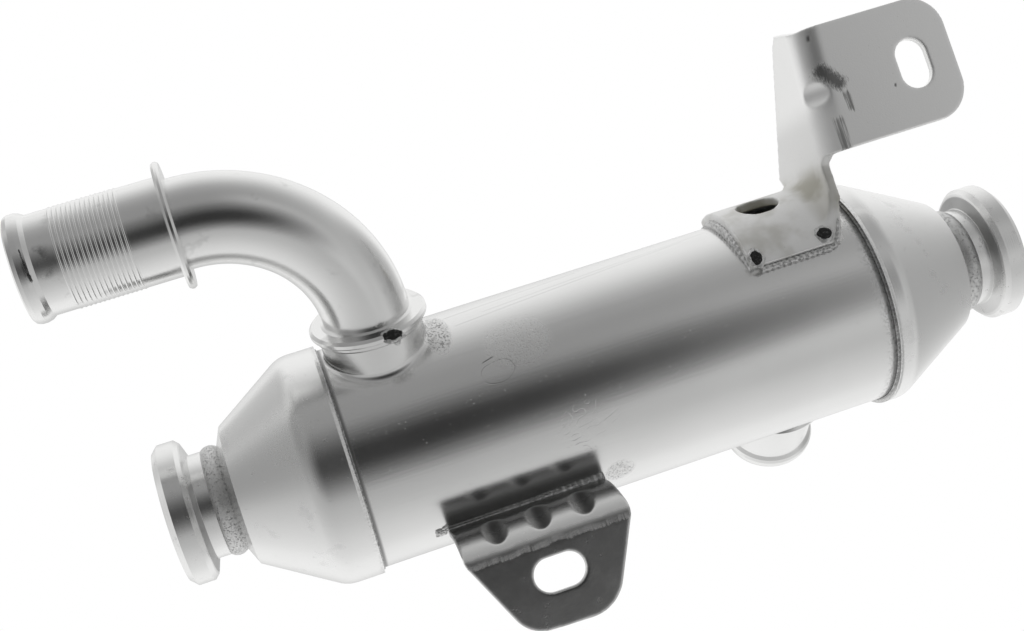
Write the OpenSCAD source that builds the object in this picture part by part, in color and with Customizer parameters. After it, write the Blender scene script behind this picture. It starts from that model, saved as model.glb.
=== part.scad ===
// Exhaust gas cooler: a round steel shell full of straight gas tubes, a pressed cone and a
// clamp flange at each end, a bent coolant inlet, a straight coolant outlet and two brackets.
// X runs along the gas flow from the face of the inlet flange. The bracket plates face -Y.

/* [Shell] */
// Outside diameter of the shell tube
shell_d = 60; // [56:0.5:66]
// Wall thickness of the shell tube
shell_wall = 1.2; // [0.8:0.1:2]
// Distance between the lips of the two cones
lip_span = 145; // [138:0.5:170]

/* [Cones] */
// Length from the inlet flange face to the inlet cone's lip
inlet_len = 48; // [44:0.5:56]
// Length from the outlet flange face to the outlet cone's lip
outlet_len = 46.5; // [44:0.5:56]
// Sheet thickness of the cones
cone_wall = 1.4; // [1:0.1:2]
// Straight skirt of the inlet cone, as far as its shoulder
inlet_skirt = 7.3; // [5:0.1:9]
// Straight skirt of the outlet cone, as far as its shoulder
outlet_skirt = 3.2; // [2.5:0.1:5]
// Outside radius of the inlet cone's shoulder
inlet_shoulder = 9; // [4:0.5:11]
// Outside radius of the outlet cone's shoulder
outlet_shoulder = 6; // [4:0.5:10]
// Outside diameter of a cone where it leaves its collar
throat_d = 37.6; // [34:0.2:42]
// Length of the cone's straight collar at the weld
collar_len = 2.2; // [1.6:0.1:3.5]
// Length of the steep step from the collar to the cone
step_len = 2.1; // [1.5:0.1:3]

/* [Clamp flanges] */
// Diameter over the flange rim
flange_d = 38; // [35:0.5:44]
// Width of the flange rim's cylinder
rim_w = 4.3; // [3:0.1:5]
// Chamfer at the gasket face
face_chamfer = 1.7; // [0.8:0.1:2.2]
// Chamfer at the back of the rim
back_chamfer = 1.1; // [0.4:0.1:1.5]
// Angle of the clamp slope behind the rim
clamp_angle = 19.3; // [12:0.1:26]
// Length of the flange piece, as far as the weld
flange_len = 14; // [12.5:0.1:16]
// Outside diameter of the flange neck and the cone collar
neck_d = 28; // [26.5:0.1:30]
// Diameter of the gas bore
gas_bore_d = 24.4; // [22:0.1:25]
// Width of the weld bead over the neck joint
bead_w = 4.4; // [3:0.1:4.4]
// Height of the weld bead
bead_h = 0.9; // [0.4:0.1:1.4]

/* [Gas tubes] */
// Outside diameter of a gas tube
tube_d = 8; // [6:0.1:9]
// Wall thickness of a gas tube
tube_wall = 0.6; // [0.4:0.1:1]
// Distance between neighbouring gas tubes
tube_pitch = 11; // [9.5:0.1:11.6]
// Thickness of a tube sheet
sheet_t = 2.5; // [1.5:0.1:4]
// Depth of a tube sheet in the end of the shell
sheet_inset = 2; // [0.5:0.1:6]
// How far the tubes stand out of the tube sheets
tube_stand = 1; // [0.4:0.1:1.8]

/* [Coolant ports] */
// Distance from the inlet cone's lip to the coolant inlet
inlet_port_x = 15.1; // [15:0.1:30]
// Distance from the outlet cone's lip to the coolant outlet
outlet_port_x = 18.8; // [16:0.1:30]
// Turn of the coolant inlet about the shell, from straight up towards -Y
inlet_turn = 30; // [15:1:45]
// Turn of the coolant outlet about the shell, from straight up towards +Y
outlet_turn = 122.5; // [95:0.5:150]
// Outside diameter of the pipe's bend
pipe_d = 22.6; // [21.6:0.1:24]
// Diameter of the coolant bore
coolant_bore_d = 20.2; // [18:0.1:20.6]
// Radius of the pipe's bend at its middle
bend_r = 37.1; // [30:0.1:44]
// Straight length of the pipe between its foot ring and its bend
leg_len = 0.5; // [0.5:0.1:12]
// Length of the hose nipple after the bend
nipple_len = 38.6; // [36:0.1:50]
// Outside diameter of the hose nipple
nipple_d = 24.8; // [23.6:0.1:26]
// Diameter over the nipple's end bead
end_bead_d = 26.9; // [25:0.1:29]
// Length of the nipple's end bead
end_bead_len = 5; // [3.5:0.1:6]
// Diameter of the hose stop collar
stop_d = 31.6; // [28:0.1:35]
// Thickness of the hose stop collar
stop_t = 1.8; // [1.2:0.1:2.4]
// Number of fine grip ridges on the inlet nipple
ridges = 21; // [6:1:24]
// Pitch of the grip ridges
ridge_pitch = 0.79; // [0.5:0.01:0.85]
// Depth of the grip ridges
ridge_depth = 0.25; // [0.1:0.01:0.4]
// Distance from the bend to the first grip ridge
ridge_start = 11.5; // [6:0.1:12]
// Length of the straight coolant outlet above the shell
outlet_rise = 30; // [24:0.1:40]
// Height of the drawn port neck above the shell
port_rise = 6.6; // [5:0.1:8]
// Outside diameter of the drawn port neck
port_d = 26.8; // [25:0.1:28]
// Diameter of the pipe's foot ring
foot_d = 30.6; // [28:0.1:34]
// Thickness of the pipe's foot ring
foot_t = 2.2; // [1.4:0.1:2.6]

/* [Brackets] */
// Sheet thickness of both brackets
plate_t = 2.5; // [2:0.1:3.2]
// Distance of the plates' front faces from the shell's side
plate_out = 0.5; // [0:0.1:3]
// Width of the bolt slots
slot_w = 8.6; // [6.5:0.1:10]
// Length of the bolt slots
slot_len = 13.5; // [11:0.1:16]
// Outside radius of the upper bracket's bend
fold_r = 7.2; // [6:0.1:8]
// Distance from the outlet lip back to the saddle's far edge
saddle_back = 32.2; // [26:0.1:40]
// Distance from the outlet lip back to the riser
riser_back = 4.2; // [2:0.1:8]
// Lean of the riser along the shell
riser_lean = 4; // [0:0.1:10]
// Turn of the riser out of square with its plate
riser_skew = 6; // [0:0.5:10]
// Height of the upper plate's lower edge above the shell
upper_low = 6.4; // [5:0.1:10]
// Height of the upper plate
upper_h = 33.8; // [30:0.1:42]
// Reach of the upper plate past the riser
upper_reach = 43.4; // [38:0.1:52]
// Corner radius of the upper plate
upper_round = 9.6; // [6:0.1:11]
// Half width of the saddle on the shell
saddle_half = 15.5; // [13:0.1:17]
// Room between the saddle's crown and the shell
saddle_room = 1.8; // [1:0.1:2.5]
// Turn of the saddle about the shell, from straight up towards -Y
saddle_turn = 30; // [24:1:36]
// Radius of the saddle's turned-up edge
turn_up_r = 6; // [4:0.1:7]
// Distance from the saddle's far edge to its hole
hole_in = 11.4; // [9:0.1:13]
// Diameter of the hole in the saddle
saddle_hole_d = 11.6; // [6:0.1:13]
// Distance from the inlet lip to the lower plate's slot
lower_x = 40.5; // [34:0.1:60]
// Angle below level at which the lower bracket meets the shell
lower_turn = 56.5; // [50:0.5:62]
// Slope of the lower bracket's ramp
lower_slope = 9; // [6:0.5:14]
// Outside radius of the lower bracket's bend
lower_fold_r = 10.3; // [8:0.1:11]
// Drop of the lower plate's slot below the shell axis
lower_drop = 42.8; // [41:0.1:47]
// Radius of the pressed darts across the folds
dart_r = 5; // [3:0.1:6]
// Depth of the pressed darts
dart_depth = 1.1; // [0.6:0.1:1.8]
// Distance from the upper plate's end to its slot
slot_edge = 11.8; // [10:0.1:16]

/* [Hidden] */
$fn = 96;
far = 400;
shell_r = shell_d / 2;
shell_in = shell_r - shell_wall;
lip_in = inlet_len;
lip_out = inlet_len + lip_span;
face_out = lip_out + outlet_len;
shell_x0 = lip_in - inlet_skirt + 0.4;
shell_x1 = lip_out + outlet_skirt - 0.4;
sheet_x0 = shell_x0 + sheet_inset;
sheet_x1 = shell_x1 - sheet_inset;
port_seat = shell_r + port_rise;
port_in_x = lip_in + inlet_port_x;
port_out_x = lip_out - outlet_port_x;
bend_z = port_seat + foot_t + leg_len;
nipple_z = bend_z + bend_r;
front = -(shell_r + plate_out);
// The saddle's arch: its rise over the chord between its edges, its radius and its centre
arch_rise = saddle_room + shell_r - sqrt(shell_r * shell_r - saddle_half * saddle_half);
arch_r = (saddle_half * saddle_half + arch_rise * arch_rise) / (2 * arch_rise);
arch_z = shell_r + saddle_room - arch_r;
steel = [0.74, 0.75, 0.75];
bright = [0.82, 0.83, 0.83];
plate_grey = [0.62, 0.63, 0.63];
dark_grey = [0.38, 0.38, 0.38];
weld_grey = [0.66, 0.66, 0.64];

// Centres of the gas tubes in a hexagon of three rings
tube_at = [for (q = [-2:2], s = [-2:2]) if (abs(q + s) <= 2)
    [tube_pitch * (q + s / 2), tube_pitch * s * sqrt(3) / 2]];
tube_names = [for (i = [0:len(tube_at) - 1]) str("gas_tube_", i < 9 ? "0" : "", i + 1)];

function unit(a) = [cos(a), sin(a)];
function arc(c, r, a0, a1, n) = [for (i = [0:n]) c + r * unit(a0 + (a1 - a0) * i / n)];
// Corner of a line of sheet moved sideways by t, from the two lines' normals
function moved(v, n1, n2, t) = v + t * (n1 + n2) / (1 + n1 * n2);

// Turns a shape drawn about Z to lie along X
module along_x() {
    rotate([0, 90, 0])
        children();
}

// Places a shape, drawn with Z pointing away from the axis, at a port of the shell
module at_port(x, turn) {
    translate([x, 0, 0])
        rotate([turn, 0, 0])
            children();
}

// Round bar along X, for cutting to the shell
module shell_bar(r) {
    translate([-far / 2, 0, 0])
        along_x()
            cylinder(r = r, h = 2 * far);
}

// Flat outline around circles given as [x, y, radius], taken counter-clockwise
module outline(c) {
    n = len(c);
    a = [for (i = [0:n - 1]) let (p = c[i], q = c[(i + 1) % n], d = [q.x - p.x, q.y - p.y])
        atan2(d.y, d.x) - acos((p.z - q.z) / norm(d))];
    polygon([for (i = [0:n - 1], k = [n - 1, 0])
        [c[i].x, c[i].y] + c[i].z * unit(a[(i + k) % n])]);
    for (p = c)
        translate([p.x, p.y])
            circle(r = p.z);
}

// Flat slot with round ends, long along its own X
module slot(w, l) {
    square([l - w, w], center = true);
    for (s = [-1, 1])
        translate([s * (l - w) / 2, 0])
            circle(d = w);
}

// Shell

// Drawn neck with a narrow lip that the pipe's foot sits on
module port_neck() {
    lip = (foot_d - port_d) / 2 - 1;
    rotate_extrude()
        polygon([[0, 0], [port_d / 2, 0], [port_d / 2, port_seat - 1.6],
            [port_d / 2 + lip, port_seat - 0.8], [port_d / 2 + lip, port_seat], [0, port_seat]]);
}

module shell() {
    color(steel)
        difference() {
            union() {
                translate([shell_x0, 0, 0])
                    along_x()
                        cylinder(r = shell_r, h = shell_x1 - shell_x0);
                at_port(port_in_x, inlet_turn)
                    port_neck();
                at_port(port_out_x, -outlet_turn)
                    port_neck();
            }
            shell_bar(shell_in);
            at_port(port_in_x, inlet_turn)
                cylinder(d = port_d - 2 * shell_wall, h = far);
            at_port(port_out_x, -outlet_turn)
                cylinder(d = port_d - 2 * shell_wall, h = far);
        }
}

// Cones, drawn as [radius, distance from the flange face]

module cone(length, skirt, round_r) {
    v = [neck_d / 2, flange_len + collar_len];
    w = [throat_d / 2, flange_len + collar_len + step_len];
    c = [shell_r + cone_wall - round_r, length - skirt];
    reach = norm(c - w);
    // Slope of the cone: the line from the step that just touches the shoulder
    a = atan2(c.x - w.x, c.y - w.y) + asin(round_r / reach);
    n_step = [v.y - w.y, w.x - v.x] / norm(w - v);
    n_cone = [-cos(a), sin(a)];
    w_in = moved(w, n_step, n_cone, cone_wall);
    v_in = moved(v, [-1, 0], n_step, cone_wall);
    rotate_extrude()
        polygon(concat([[neck_d / 2 - cone_wall, flange_len], [neck_d / 2, flange_len], v, w],
            arc(c, round_r, -a, 0, 10), [[shell_r + cone_wall, length], [shell_r, length]],
            arc(c, round_r - cone_wall, 0, -a, 10), [w_in, v_in]));
}

module inlet_cone() {
    color(bright)
        along_x()
            cone(inlet_len, inlet_skirt, inlet_shoulder);
}

module outlet_cone() {
    color(bright)
        translate([face_out, 0, 0])
            mirror([1, 0, 0])
                along_x()
                    cone(outlet_len, outlet_skirt, outlet_shoulder);
}

// Clamp flanges

module flange() {
    r = flange_d / 2;
    x2 = face_chamfer + rim_w;
    x3 = x2 + back_chamfer;
    slope = (r - back_chamfer - neck_d / 2) * tan(clamp_angle);
    rotate_extrude()
        polygon([[gas_bore_d / 2, 0], [r - face_chamfer, 0], [r, face_chamfer], [r, x2],
            [r - back_chamfer, x3], [neck_d / 2, x3 + slope], [neck_d / 2, flange_len],
            [gas_bore_d / 2, flange_len]]);
}

module inlet_flange() {
    color(bright)
        along_x()
            flange();
}

module outlet_flange() {
    color(bright)
        translate([face_out, 0, 0])
            mirror([1, 0, 0])
                along_x()
                    flange();
}

// Weld beads over the joints between flange neck and cone collar

module bead() {
    half = bead_w / 2;
    r = neck_d / 2;
    big = (half * half + bead_h * bead_h) / (2 * bead_h);
    a = asin(half / big);
    rotate_extrude()
        polygon(arc([r + bead_h - big, flange_len], big, -a, a, 10));
}

module inlet_weld() {
    color(weld_grey)
        along_x()
            bead();
}

module outlet_weld() {
    color(weld_grey)
        translate([face_out, 0, 0])
            mirror([1, 0, 0])
                along_x()
                    bead();
}

// Tube sheets and gas tubes

module tube_sheet() {
    difference() {
        cylinder(r = shell_in, h = sheet_t);
        for (p = tube_at)
            translate([p.x, p.y, -1])
                cylinder(d = tube_d, h = sheet_t + 2, $fn = 48);
    }
}

module inlet_tube_sheet() {
    color(steel)
        translate([sheet_x0, 0, 0])
            along_x()
                tube_sheet();
}

module outlet_tube_sheet() {
    color(steel)
        translate([sheet_x1 - sheet_t, 0, 0])
            along_x()
                tube_sheet();
}

module gas_tube(i) {
    run = sheet_x1 - sheet_x0 + 2 * tube_stand;
    color(steel)
        translate([sheet_x0 - tube_stand, 0, 0])
            along_x()
                translate([tube_at[i].x, tube_at[i].y, 0])
                    difference() {
                        cylinder(d = tube_d, h = run, $fn = 48);
                        translate([0, 0, -1])
                            cylinder(d = tube_d - 2 * tube_wall, h = run + 2, $fn = 48);
                    }
}

// Coolant pipes

// Rounded end bead of a nipple as [radius, distance], ending at e
function bead_points(e) = let (r = nipple_d / 2, b = end_bead_d / 2, s = e - end_bead_len)
    [[r, s], [r + (b - r) * 0.7, s + end_bead_len * 0.22], [b, s + end_bead_len * 0.45],
    [b, s + end_bead_len * 0.72], [b - (b - r) * 0.35, s + end_bead_len * 0.92], [b - 0.9, e]];

// Foot ring as [radius, height], ending on the pipe's own radius r
function foot_points(r) = let (f = foot_d / 2, z = port_seat)
    [[f - 0.7, z], [f, z + 0.6], [f, z + foot_t - 0.7], [f - 0.7, z + foot_t],
    [r + 0.8, z + foot_t + 0.1], [r, z + foot_t + 0.45]];

function ridge_points() = [for (i = [0:ridges - 1], k = [0:3]) let (r = nipple_d / 2)
    [k == 1 || k == 2 ? r - ridge_depth : r, ridge_start + ridge_pitch * (i + [0, 0.3, 0.6, 0.9][k])]];

module coolant_inlet_pipe() {
    r = pipe_d / 2;
    n = nipple_d / 2;
    s = stop_d / 2;
    color(bright)
        at_port(port_in_x, inlet_turn)
            difference() {
                union() {
                    rotate_extrude()
                        polygon(concat([[0, port_seat]], foot_points(r), [[r, bend_z], [0, bend_z]]));
                    translate([-bend_r, 0, bend_z])
                        rotate([90, 0, 0])
                            rotate_extrude(angle = 90)
                                translate([bend_r, 0])
                                    circle(r = r);
                    translate([-bend_r, 0, nipple_z])
                        rotate([0, -90, 0])
                            rotate_extrude()
                                polygon(concat([[0, 0], [r, 0], [r, 0.3], [s - 0.4, 0.4],
                                    [s, 0.4 + stop_t / 3], [s, 0.4 + stop_t * 2 / 3],
                                    [s - 0.4, 0.4 + stop_t], [n, 0.5 + stop_t]],
                                    ridge_points(), bead_points(nipple_len), [[0, nipple_len]]));
                }
                translate([0, 0, port_seat - 1])
                    cylinder(d = coolant_bore_d, h = bend_z - port_seat + 1);
                translate([-bend_r, 0, bend_z])
                    rotate([90, 0, 0])
                        rotate_extrude(angle = 90)
                            translate([bend_r, 0])
                                circle(d = coolant_bore_d);
                translate([-bend_r, 0, nipple_z])
                    rotate([0, -90, 0])
                        cylinder(d = coolant_bore_d, h = nipple_len + 1);
            }
}

module coolant_outlet_pipe() {
    end = shell_r + outlet_rise;
    color(bright)
        at_port(port_out_x, -outlet_turn)
            difference() {
                rotate_extrude()
                    polygon(concat([[0, port_seat]], foot_points(nipple_d / 2), bead_points(end),
                        [[0, end]]));
                translate([0, 0, port_seat - 1])
                    cylinder(d = coolant_bore_d, h = far);
            }
}

// Upper bracket: a saddle on the shell, turned up into a leaning riser with a slotted plate

// Saddle and its turned-up edge, swept in one about the arch's own axis
module saddle() {
    half = asin(saddle_half / arch_r) + 2;
    edge_x = lip_out - riser_back - 0.8 - turn_up_r * cos(22.5);
    turn_c = [arch_r + plate_t + turn_up_r, edge_x];
    translate([0, 0, arch_z])
        along_x()
            rotate([0, 0, 180 - half])
                rotate_extrude(angle = 2 * half)
                    polygon(concat([[arch_r, lip_out - saddle_back], [arch_r + plate_t, lip_out - saddle_back]],
                        arc(turn_c, turn_up_r, 180, 112.5, 14),
                        arc(turn_c, turn_up_r + plate_t, 112.5, 180, 14)));
}

module upper_bracket() {
    low = shell_r + upper_low;
    high = low + upper_h;
    riser_x = lip_out - riser_back;
    // The riser's outer face ends at the fold, which runs up in the plate's plane
    fold_c = fold_r * unit(riser_skew);
    fold_y = front + fold_r - fold_c.y;
    // Where the plate's lower edge turns down into the riser's near edge
    near = front + 4.1;
    tip = riser_x + upper_reach;
    dart_a = (180 + riser_skew + 270) / 2;
    dart_at = fold_c + (fold_r - dart_depth + dart_r) * unit(dart_a);
    module upright() {
        translate([riser_x, fold_y, low])
            rotate([0, riser_lean, 0])
                children();
    }
    color(plate_grey)
        difference() {
            union() {
                intersection() {
                    // Bent sheet: riser, fold and plate
                    upright()
                        translate([0, 0, -60])
                            linear_extrude(upper_h + 120)
                                polygon(concat([[90, front - fold_y]],
                                    arc(fold_c, fold_r, 270, 180 + riser_skew, 12),
                                    [60 * unit(90 + riser_skew),
                                    60 * unit(90 + riser_skew) + plate_t * unit(riser_skew)],
                                    arc(fold_c, fold_r - plate_t, 180 + riser_skew, 270, 12),
                                    [[90, front - fold_y + plate_t]]));
                    // Side view, its foot round the saddle
                    rotate([90, 0, 90])
                        linear_extrude(far)
                            difference() {
                                polygon([[front - 3, low], [near - 0.7, low], [near + 1.3, low - 1.9],
                                    [near - 1.6, low - 15.8], [near + 4, low - 24],
                                    [near + 21, low - 9], [near + 27.6, low + 0.5],
                                    [near + 19.6, low + 16.6], [near + 11.1, high + 0.1],
                                    [near + 8.6, high + 2.5], [near - 0.7, high],
                                    [front - 3, high - 0.1]]);
                                translate(arch_z * unit(90 + saddle_turn))
                                    circle(r = arch_r + plate_t + turn_up_r / 3);
                            }
                    // Front view, with the round corners a hair outside the straight edges
                    translate([0, far / 2, 0])
                        rotate([90, 0, 0])
                            linear_extrude(far)
                                outline([[riser_x - 40, low - 80, 0.01],
                                    [riser_x + 5 - 80 * tan(riser_lean), low - 80.8, 0.01],
                                    [riser_x + 5, low - 0.8, 0.01],
                                    [tip - upper_round, low + upper_round - 0.15, upper_round],
                                    [tip - upper_round, high - upper_round + 0.15, upper_round],
                                    [riser_x - 30, high + 12, 0.01]]);
                }
                rotate([saddle_turn, 0, 0])
                    saddle();
            }
            shell_bar(shell_r);
            // Near end of the turned-up edge, cut off in line with the riser
            translate([lip_out - riser_back - turn_up_r - 0.5, near - 0.6, low - 15.8])
                rotate([-8.6, 0, 0])
                    translate([0, -60, -25])
                        cube([40, 60, 38.6]);
            // Bolt slot, upright in the plate
            translate([tip - slot_edge, front - 1, low + upper_h / 2 - 0.4])
                rotate([-90, 0, 0])
                    rotate(90)
                        linear_extrude(plate_t + 2)
                            slot(slot_w, slot_len);
            // Hole in the crown of the saddle
            rotate([saddle_turn, 0, 0])
                translate([lip_out - saddle_back + hole_in, 2.6, shell_r])
                    cylinder(d = saddle_hole_d, h = 12);
            // Dart pressed across the fold
            upright()
                translate([dart_at.x, dart_at.y, upper_h / 2 - 0.4])
                    rotate([0, 0, dart_a + 90])
                        rotate([0, 90, 0])
                            translate([0, 0, -12])
                                cylinder(r = dart_r, h = 24);
        }
}

// Lower bracket: a ramp from the shell, folded down to a slotted plate

module lower_bracket() {
    x = lip_in + lower_x;
    z = -lower_drop;
    ramp = unit(180 + lower_slope);
    up = unit(90 + lower_slope);
    start = shell_r * unit(180 + lower_turn);
    // Centre of the fold: one radius under the ramp's top and behind the plate's front
    inner = start - lower_fold_r * up;
    fold_c = inner + ramp * (front + lower_fold_r - inner.x) / ramp.x;
    dart_a = 119 + lower_slope;
    dart_at = fold_c + (lower_fold_r - dart_depth + dart_r) * unit(dart_a);
    module profile() {
        polygon(concat([[front, z - 30]],
            arc(fold_c, lower_fold_r, 180, 90 + lower_slope, 24),
            [start - 12 * ramp, start - 12 * ramp - plate_t * up],
            arc(fold_c, lower_fold_r - plate_t, 90 + lower_slope, 180, 24),
            [[front + plate_t, z - 30]]));
    }
    color(dark_grey)
        difference() {
            intersection() {
                translate([x - far / 2, 0, 0])
                    rotate([90, 0, 90])
                        linear_extrude(far)
                            profile();
                translate([0, far / 2, 0])
                    rotate([90, 0, 0])
                        linear_extrude(far)
                            outline([[x - 6, z - 3.8, 9], [x + 4.5, z - 2.2, 11],
                                [x + 15.9, z + 9.8, 6], [x + 18.2, z + 26, 0.01],
                                [x - 22.7, z + 26, 0.01], [x - 17, z + 9.8, 5]]);
            }
            shell_bar(shell_r);
            translate([x, front - 1, z])
                rotate([-90, 0, 0])
                    linear_extrude(plate_t + 2)
                        slot(slot_w, slot_len);
            // Three pressed darts across the fold
            for (i = [-1:1])
                translate([x + i * 11.6 - 0.4, dart_at.x, dart_at.y])
                    rotate([dart_a, 0, 0])
                        translate([0, 0, -14])
                            cylinder(r = dart_r, h = 28);
        }
}

shell();
inlet_cone();
outlet_cone();
inlet_flange();
outlet_flange();
inlet_weld();
outlet_weld();
inlet_tube_sheet();
outlet_tube_sheet();
coolant_inlet_pipe();
coolant_outlet_pipe();
upper_bracket();
lower_bracket();
for (i = [0:len(tube_at) - 1])
    gas_tube(i);
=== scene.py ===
import math
import bmesh
import bpy
from mathutils import Matrix, Vector, noise


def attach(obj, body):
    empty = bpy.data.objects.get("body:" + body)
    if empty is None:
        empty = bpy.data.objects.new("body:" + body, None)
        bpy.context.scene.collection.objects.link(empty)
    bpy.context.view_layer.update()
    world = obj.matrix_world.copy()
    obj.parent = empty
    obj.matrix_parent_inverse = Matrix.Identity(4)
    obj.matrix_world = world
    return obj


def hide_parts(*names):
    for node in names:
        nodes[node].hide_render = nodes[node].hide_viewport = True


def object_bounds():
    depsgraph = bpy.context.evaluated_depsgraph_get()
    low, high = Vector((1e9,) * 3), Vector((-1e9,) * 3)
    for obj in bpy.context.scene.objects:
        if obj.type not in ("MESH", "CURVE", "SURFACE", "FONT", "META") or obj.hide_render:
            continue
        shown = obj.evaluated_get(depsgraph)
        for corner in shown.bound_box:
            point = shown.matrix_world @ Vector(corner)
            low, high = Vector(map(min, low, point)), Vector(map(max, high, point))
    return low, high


# Exhaust gas cooler, loaded as its finished solids. All its pieces are steel, brazed or welded
# together into one rigid thing, so every piece rides on the one body.
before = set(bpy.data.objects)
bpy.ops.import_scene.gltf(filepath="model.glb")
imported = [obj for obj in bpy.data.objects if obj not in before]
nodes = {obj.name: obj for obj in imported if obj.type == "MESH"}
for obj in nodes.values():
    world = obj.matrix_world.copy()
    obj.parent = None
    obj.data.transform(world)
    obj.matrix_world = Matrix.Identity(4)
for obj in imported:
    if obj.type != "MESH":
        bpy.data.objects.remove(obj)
cad_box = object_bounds()
scene = bpy.context.scene
scene.view_settings.view_transform = "Standard"


# Shell: a drawn stainless tube, 60 mm across, left in its mill finish. It has faint drawing lines
# along it, a rubbed dull patch, stray scratches from handling and a braze stain beside each seam.
# Sizes of pieces are in millimetres from here on.
shell_r = 30.0
inlet_lip_x = 48.0
outlet_lip_x = 193.0


class Flow:
    """One output of a node, so that maths on a surface or a curve reads as plain sums."""

    def __init__(self, tree, socket=None):
        self.tree = tree
        self.socket = socket

    def node(self, kind, settings=None, sockets=None, out=0):
        made = self.tree.nodes.new(kind)
        for key, value in (settings or {}).items():
            if key == "stops":
                for i, (at, shade) in enumerate(value):
                    stops = made.color_ramp.elements
                    stop = stops[i] if i < len(stops) else stops.new(at)
                    stop.position = at
                    stop.color = shade
            else:
                setattr(made, key, value)
        for key, value in (sockets or {}).items():
            if isinstance(value, Flow):
                self.tree.links.new(value.socket, made.inputs[key])
            else:
                made.inputs[key].default_value = value
        return Flow(self.tree, made.outputs[out] if made.outputs else None)

    def also(self, out):
        return Flow(self.tree, self.socket.node.outputs[out])

    def maths(self, operation, *values):
        return self.node("ShaderNodeMath", {"operation": operation}, dict(enumerate(values)))

    def __add__(self, other):
        return self.maths("ADD", self, other)

    def __sub__(self, other):
        return self.maths("SUBTRACT", self, other)

    def __rsub__(self, other):
        return self.maths("SUBTRACT", other, self)

    def __mul__(self, other):
        return self.maths("MULTIPLY", self, other)

    def __truediv__(self, other):
        return self.maths("DIVIDE", self, other)

    def __rtruediv__(self, other):
        return self.maths("DIVIDE", other, self)

    def __abs__(self):
        return self.maths("ABSOLUTE", self)

    __radd__ = __add__
    __rmul__ = __mul__

    def fade(self, start, end, before=0.0, after=1.0):
        return self.node("ShaderNodeMapRange", {"interpolation_type": "SMOOTHSTEP"},
                         {"Value": self, "From Min": start, "From Max": end,
                          "To Min": before, "To Max": after})

    def noise(self, scale, detail=3.0, stretch=None, roughness=0.55):
        at = self
        if stretch:
            at = self.node("ShaderNodeMapping", {}, {"Vector": self, "Scale": stretch})
        return self.node("ShaderNodeTexNoise", {}, {"Vector": at, "Scale": scale, "Detail": detail,
                                                   "Roughness": roughness})

    def blend(self, first, second):
        return self.node("ShaderNodeMix", {"data_type": "RGBA"},
                         {"Factor": self, 6: first, 7: second}, 2)


def grey(level):
    return (level, level, level * 0.995, 1.0)


def start_finish(name):
    made = bpy.data.materials.new(name)
    made.use_nodes = True
    made.node_tree.nodes.clear()
    return made, Flow(made.node_tree).node("ShaderNodeTexCoord", out="Object")


def in_mm(at):
    split = at.node("ShaderNodeSeparateXYZ", {}, {0: at})
    return split * 1000.0, split.also(1) * 1000.0, split.also(2) * 1000.0


def close_finish(made, colour, rough, height, depth, metallic=1.0):
    bump = colour.node("ShaderNodeBump", {}, {"Height": height, "Distance": depth, "Strength": 1.0})
    skin = colour.node("ShaderNodeBsdfPrincipled", {}, {"Base Color": colour, "Roughness": rough,
                                                        "Metallic": metallic, "Normal": bump})
    colour.node("ShaderNodeOutputMaterial", {"target": "ALL"}, {"Surface": skin})
    return made


def wear(node, made):
    node.data.materials.clear()
    node.data.materials.append(made)


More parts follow.
